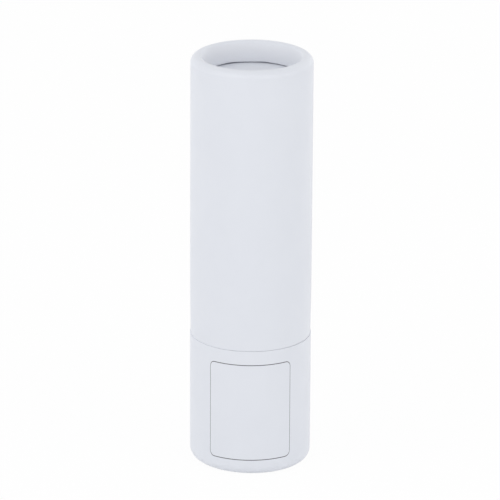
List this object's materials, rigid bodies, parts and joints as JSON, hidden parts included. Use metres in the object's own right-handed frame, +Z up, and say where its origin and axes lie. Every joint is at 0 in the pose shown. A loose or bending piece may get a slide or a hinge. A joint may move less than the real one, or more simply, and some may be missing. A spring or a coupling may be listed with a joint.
{
  "type": "lip balm stick",
  "caption": "Twist-up lip balm stick in a matt white paper tube, with a pull-off cap whose rolled rim surrounds a recessed disc.",
  "frame": {"origin": "centre of the base, on the surface that the stick stands on", "axes": "+Z up along the stick, from the base to the cap; -Y towards the blank label panel on the base"},
  "size_m": [0.0202, 0.0202, 0.07],
  "materials": {
    "white_paper": "smooth matt white paper wrap on board",
    "white_board": "plain uncoated white board",
    "white_plastic": "moulded white polypropylene",
    "silicone": "smooth grey silicone",
    "wax": null
  },
  "bodies": {
    "base": {"base_tube": "white_paper", "base_disc": "white_board", "base_liner": "white_board", "base_plug": "white_plastic", "slotted_tube": "white_plastic", "friction_ring": "silicone"},
    "neck": {"neck_tube": "white_paper", "cam_sleeve": "white_plastic"},
    "carrier": {"carrier_cup": "white_plastic", "balm": "wax"},
    "cap": {"cap_tube": "white_paper", "cap_disc": "white_board", "cap_liner": "white_board"}
  },
  "joints": [
    {"name": "neck_twist", "type": "hinge", "parent": "base", "child": "neck", "pos_m": [0, 0, 0.025], "axis": [0, 0, -1], "range_deg": [0, 720]},
    {"name": "balm_rise", "type": "slide", "parent": "base", "child": "carrier", "axis": [0, 0, 1], "range_m": [0, 0.025]},
    {"name": "cap_lift", "type": "slide", "parent": "neck", "child": "cap", "axis": [0, 0, 1], "range_m": [0, 0.045]}
  ],
  "couplings": [
    {"joint": "balm_rise", "follows": "neck_twist", "m_per_rad": 0.0019894}
  ]
}
